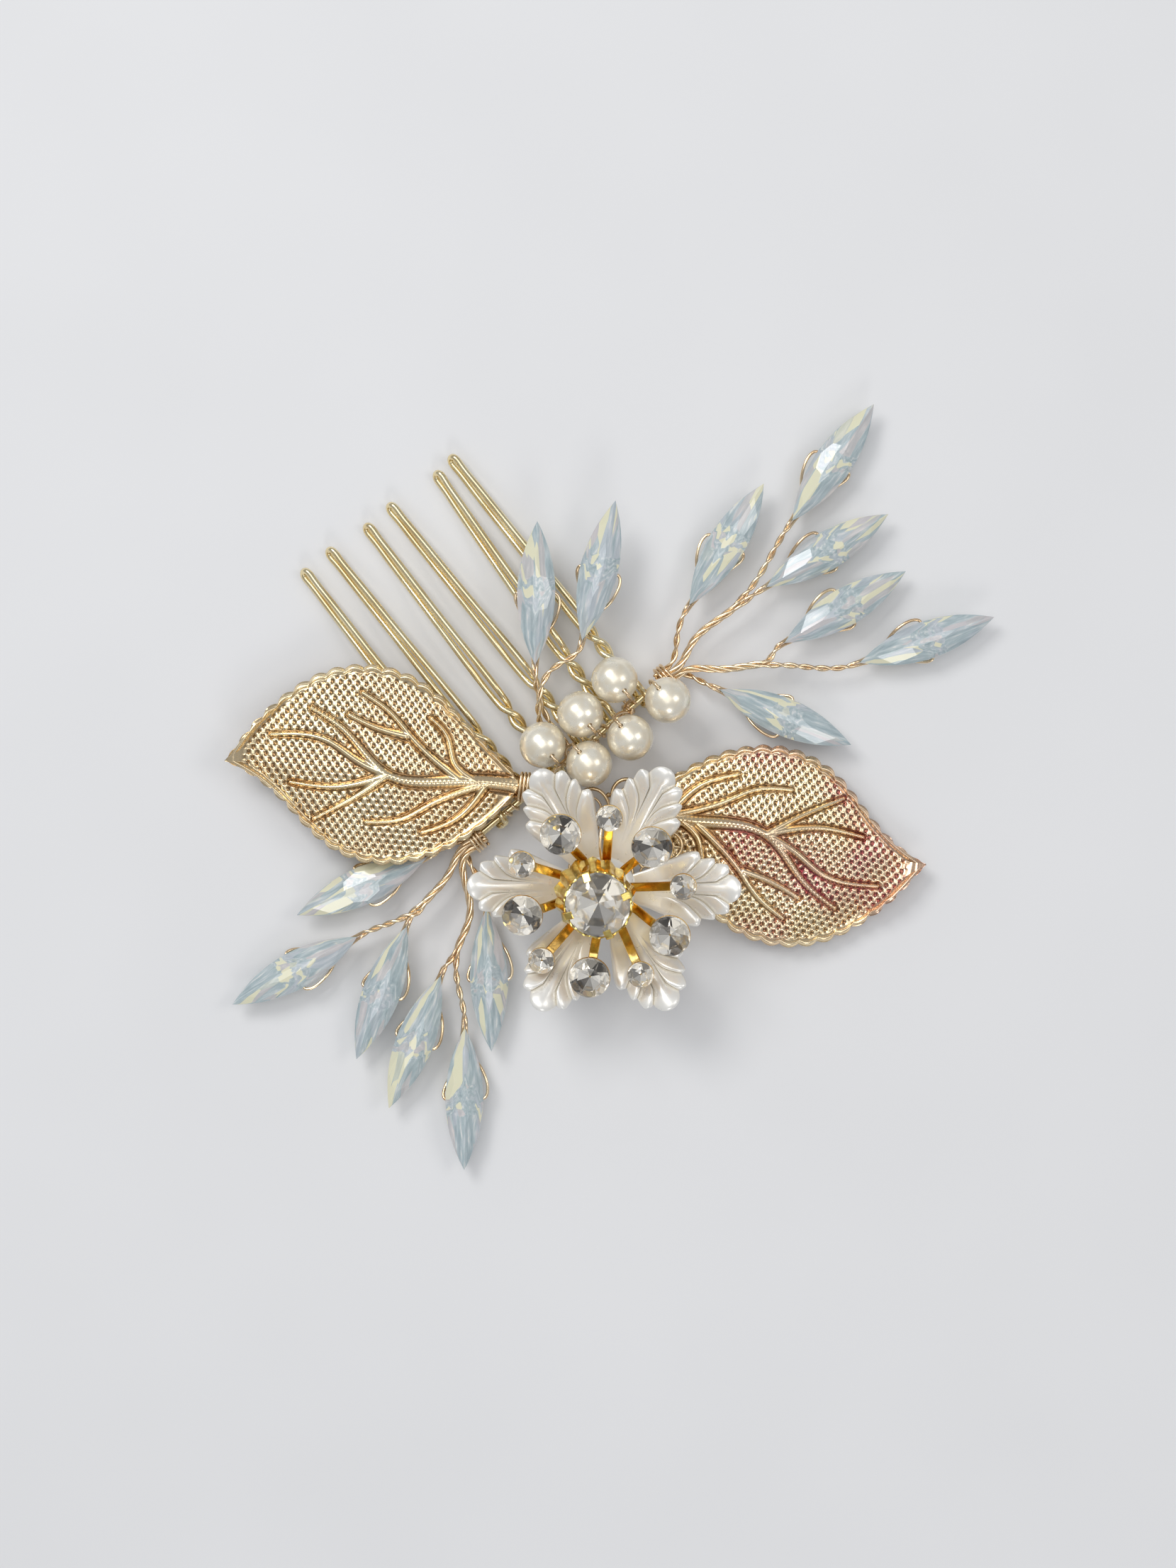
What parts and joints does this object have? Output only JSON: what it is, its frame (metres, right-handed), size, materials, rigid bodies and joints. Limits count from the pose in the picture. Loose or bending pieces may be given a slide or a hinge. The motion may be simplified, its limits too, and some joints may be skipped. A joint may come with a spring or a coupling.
{
  "type": "decorative hair comb",
  "caption": "Bridal wire hair comb with twisted-root teeth, stamped leaves, a pearly flower with a crystal stamen, spinning pearls and opal drops on twisted stems.",
  "frame": {"origin": "middle of the comb's spine, on the spine wire's axis", "axes": "+X along the spine, -Y along the teeth towards their tips, +Z out of the ornament's front"},
  "size_m": [0.0924, 0.067, 0.0143],
  "materials": {
    "comb_gold": "polished pale gold plate on wire",
    "wire_rose_gold": "bright champagne gold craft wire",
    "leaf_gold": "bright champagne gold plate on a stamped sheet",
    "stamen_gold": "rich yellow gold plate",
    "pearl": "ivory pearl coat with a soft sheen",
    "petal": "pearly white moulded acrylic",
    "opal_glass": "milky faceted resin with pale yellow flashes",
    "crystal_glass": "clear faceted foil-backed glass"
  },
  "bodies": {
    "comb": {"backing_rosette": "leaf_gold", "centre_crystal": "crystal_glass", "comb_spine": "comb_gold", "comb_tooth_1": "comb_gold", "comb_tooth_2": "comb_gold", "comb_tooth_3": "comb_gold", "comb_tooth_4": "comb_gold", "comb_tooth_5": "comb_gold", "comb_tooth_6": "comb_gold", "flower_petals": "petal", "flower_tie_wire": "wire_rose_gold", "large_crystal_1": "crystal_glass", "large_crystal_2": "crystal_glass", "large_crystal_3": "crystal_glass", "large_crystal_4": "crystal_glass", "large_crystal_5": "crystal_glass", "leaf_binding_wire": "wire_rose_gold", "leaf_left": "leaf_gold", "leaf_right": "leaf_gold", "opal_left_1": "opal_glass", "opal_left_2": "opal_glass", "opal_left_3": "opal_glass", "opal_left_4": "opal_glass", "opal_left_5": "opal_glass", "opal_left_6": "opal_glass", "opal_right_1": "opal_glass", "opal_right_2": "opal_glass", "opal_right_3": "opal_glass", "opal_right_4": "opal_glass", "opal_right_5": "opal_glass", "opal_right_6": "opal_glass", "opal_top_1": "opal_glass", "opal_top_2": "opal_glass", "pearl_wire_1": "wire_rose_gold", "pearl_wire_2": "wire_rose_gold", "pearl_wire_3": "wire_rose_gold", "pearl_wire_4": "wire_rose_gold", "pearl_wire_5": "wire_rose_gold", "pearl_wire_6": "wire_rose_gold", "small_crystals": "crystal_glass", "spine_binding_wire": "wire_rose_gold", "sprig_wire_left_1": "wire_rose_gold", "sprig_wire_left_2": "wire_rose_gold", "sprig_wire_left_3": "wire_rose_gold", "sprig_wire_left_4": "wire_rose_gold", "sprig_wire_right_1": "wire_rose_gold", "sprig_wire_right_2": "wire_rose_gold", "sprig_wire_right_3": "wire_rose_gold", "sprig_wire_right_4": "wire_rose_gold", "sprig_wire_top_1": "wire_rose_gold", "sprig_wire_top_2": "wire_rose_gold", "stamen_frame": "stamen_gold", "stem_binding_wire": "wire_rose_gold"},
    "bead_1": {"pearl_1": "pearl"},
    "bead_2": {"pearl_2": "pearl"},
    "bead_3": {"pearl_3": "pearl"},
    "bead_4": {"pearl_4": "pearl"},
    "bead_5": {"pearl_5": "pearl"},
    "bead_6": {"pearl_6": "pearl"}
  },
  "joints": [
    {"name": "bead_1_spin", "type": "hinge", "parent": "comb", "child": "bead_1", "pos_m": [-0.00874, -0.00325, 0.00369], "axis": [0, 0.6691, 0.7431], "continuous": true},
    {"name": "bead_2_spin", "type": "hinge", "parent": "comb", "child": "bead_2", "pos_m": [-0.00367, -0.0028, 0.00369], "axis": [0, 0.6691, 0.7431], "continuous": true},
    {"name": "bead_3_spin", "type": "hinge", "parent": "comb", "child": "bead_3", "pos_m": [0.00138, -0.00288, 0.00369], "axis": [0, 0.6691, 0.7431], "continuous": true},
    {"name": "bead_4_spin", "type": "hinge", "parent": "comb", "child": "bead_4", "pos_m": [-0.01163, 0.00195, 0.00369], "axis": [0, -0.6691, 0.7431], "continuous": true},
    {"name": "bead_5_spin", "type": "hinge", "parent": "comb", "child": "bead_5", "pos_m": [-0.0061, 0.00243, 0.00369], "axis": [0, -0.6691, 0.7431], "continuous": true},
    {"name": "bead_6_spin", "type": "hinge", "parent": "comb", "child": "bead_6", "pos_m": [-0.00106, 0.00176, 0.00369], "axis": [0, -0.6691, 0.7431], "continuous": true}
  ]
}
